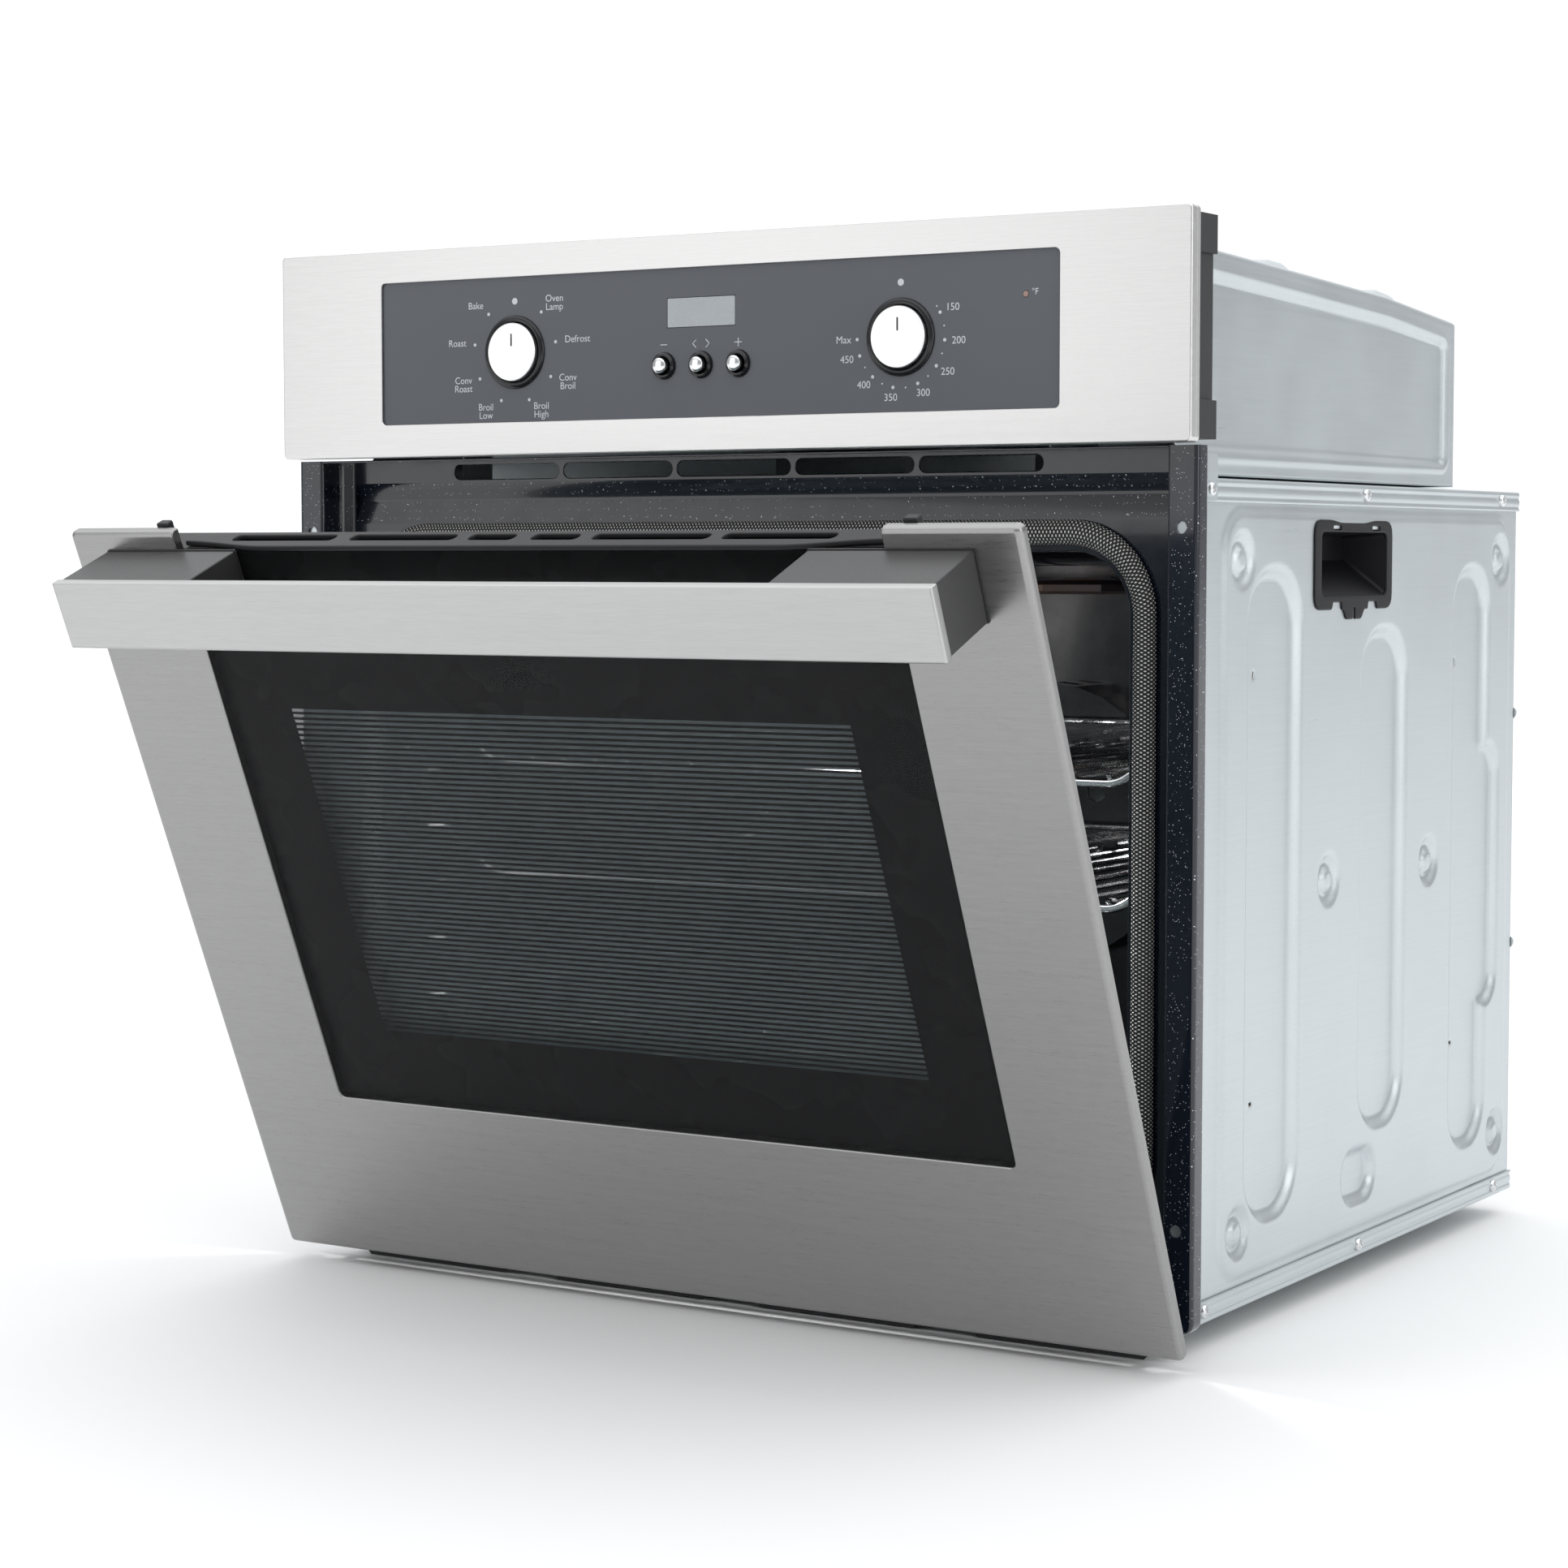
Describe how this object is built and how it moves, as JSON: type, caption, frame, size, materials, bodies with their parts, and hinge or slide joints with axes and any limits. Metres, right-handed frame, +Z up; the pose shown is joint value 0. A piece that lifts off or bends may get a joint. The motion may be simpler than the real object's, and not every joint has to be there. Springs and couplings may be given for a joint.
{
  "type": "wall oven",
  "caption": "Built-in electric wall oven with a drop-down glazed door standing ajar, pop-out knobs, push buttons, sliding wire racks and fan-assisted cavity.",
  "frame": {"origin": "middle of the underside of the base pan, where the oven stands on the shelf of its cabinet", "axes": "+X to the right as seen from the front, +Y to the rear, +Z up"},
  "size_m": [0.595, 0.7675, 0.601],
  "materials": {
    "brushed_stainless": "brushed stainless, grain running sideways",
    "satin_grey": "satin dark grey",
    "dark_plastic": "fine matt moulded black",
    "gloss_ring": "glossy black",
    "enamel": "glossy blue-black enamel with fine white speckle",
    "galvanised": "zinc-coated sheet, satin",
    "chrome": "polished chrome",
    "black_glass": "tempered glass with a black printed border",
    "clear_glass": "heat-resistant glass",
    "gasket_braid": "braided glass-fibre sleeve, silver and black",
    "insulation": "glass wool",
    "heating_rod": "heat-tinted metal sheath",
    "switch_body": "cream moulding",
    "circuit_board": "green board",
    "display": "pale grey display window",
    "lamp_lens": "smoky lens",
    "lamp_glass": "clear lamp cover",
    "shaft_steel": "plain steel"
  },
  "bodies": {
    "oven_body": {"control_fascia": "brushed_stainless", "fascia_carrier": "dark_plastic", "control_panel": "satin_grey", "display_window": "display", "heating_lamp_lens": "lamp_lens", "selector_collar": "gloss_ring", "thermostat_collar": "gloss_ring", "selector_switch": "switch_body", "thermostat": "switch_body", "button_bezel": "gloss_ring", "timer_board": "circuit_board", "control_bracket": "galvanised", "front_frame": "enamel", "door_gasket": "gasket_braid", "bottom_vent_trim": "dark_plastic", "left_side_panel": "galvanised", "right_side_panel": "galvanised", "left_carry_grip": "dark_plastic", "right_carry_grip": "dark_plastic", "left_rack_rail": "chrome", "right_rack_rail": "chrome", "left_hinge_arm": "shaft_steel", "right_hinge_arm": "shaft_steel", "base_pan": "galvanised", "top_plate": "galvanised", "rear_panel": "galvanised", "terminal_box": "dark_plastic", "upper_cover": "galvanised", "cavity_liner": "enamel", "insulation_wrap": "insulation", "broil_element": "heating_rod", "bake_element": "heating_rod", "fan_cover": "enamel", "convection_fan_motor": "galvanised", "oven_lamp": "lamp_glass", "air_duct": "galvanised", "blower_housing": "galvanised", "cooling_blower_motor": "galvanised"},
    "door": {"door_skin": "brushed_stainless", "door_outer_glass": "black_glass", "door_middle_glass": "clear_glass", "door_inner_glass": "clear_glass", "door_liner": "dark_plastic", "door_vent_cap": "dark_plastic", "handle_bar": "brushed_stainless", "left_handle_post": "satin_grey", "right_handle_post": "satin_grey", "left_hinge_case": "galvanised", "right_hinge_case": "galvanised"},
    "selector_spindle": {"selector_shaft": "shaft_steel"},
    "selector_knob": {"selector_knob": "chrome"},
    "thermostat_spindle": {"thermostat_shaft": "shaft_steel"},
    "thermostat_knob": {"thermostat_knob": "chrome"},
    "minus_button": {"minus_button": "chrome"},
    "select_button": {"select_button": "chrome"},
    "plus_button": {"plus_button": "chrome"},
    "convection_fan": {"convection_fan_wheel": "galvanised"},
    "cooling_blower": {"cooling_blower_wheel": "galvanised"},
    "upper_rack": {"upper_rack": "chrome"},
    "lower_rack": {"lower_rack": "chrome"}
  },
  "joints": [
    {"name": "door_hinge", "type": "hinge", "parent": "oven_body", "child": "door", "pos_m": [0, -0.2779, 0.0066], "axis": [1, 0, 0], "range_deg": [-23.1, 66.9]},
    {"name": "selector_turn", "type": "hinge", "parent": "oven_body", "child": "selector_spindle", "pos_m": [-0.127, -0.25, 0.5255], "axis": [0, 1, 0], "continuous": true},
    {"name": "selector_pop_out", "type": "slide", "parent": "selector_spindle", "child": "selector_knob", "axis": [0, -1, 0], "range_m": [0, 0.016]},
    {"name": "thermostat_turn", "type": "hinge", "parent": "oven_body", "child": "thermostat_spindle", "pos_m": [0.127, -0.25, 0.5255], "axis": [0, 1, 0], "range_deg": [0, 270]},
    {"name": "thermostat_pop_out", "type": "slide", "parent": "thermostat_spindle", "child": "thermostat_knob", "axis": [0, -1, 0], "range_m": [0, 0.016]},
    {"name": "minus_press", "type": "slide", "parent": "oven_body", "child": "minus_button", "axis": [0, 1, 0], "range_m": [0, 0.0015], "stiffness_N_per_m": 600},
    {"name": "select_press", "type": "slide", "parent": "oven_body", "child": "select_button", "axis": [0, 1, 0], "range_m": [0, 0.0015], "stiffness_N_per_m": 600},
    {"name": "plus_press", "type": "slide", "parent": "oven_body", "child": "plus_button", "axis": [0, 1, 0], "range_m": [0, 0.0015], "stiffness_N_per_m": 600},
    {"name": "convection_fan_spin", "type": "hinge", "parent": "oven_body", "child": "convection_fan", "pos_m": [0, 0.145, 0.235], "axis": [0, 1, 0], "continuous": true},
    {"name": "cooling_blower_spin", "type": "hinge", "parent": "oven_body", "child": "cooling_blower", "pos_m": [0, 0.015, 0.5], "axis": [0, 0, 1], "continuous": true},
    {"name": "upper_rack_slide", "type": "slide", "parent": "oven_body", "child": "upper_rack", "axis": [0, -1, 0], "range_m": [0, 0.12]},
    {"name": "lower_rack_slide", "type": "slide", "parent": "oven_body", "child": "lower_rack", "axis": [0, -1, 0], "range_m": [0, 0.09]}
  ]
}
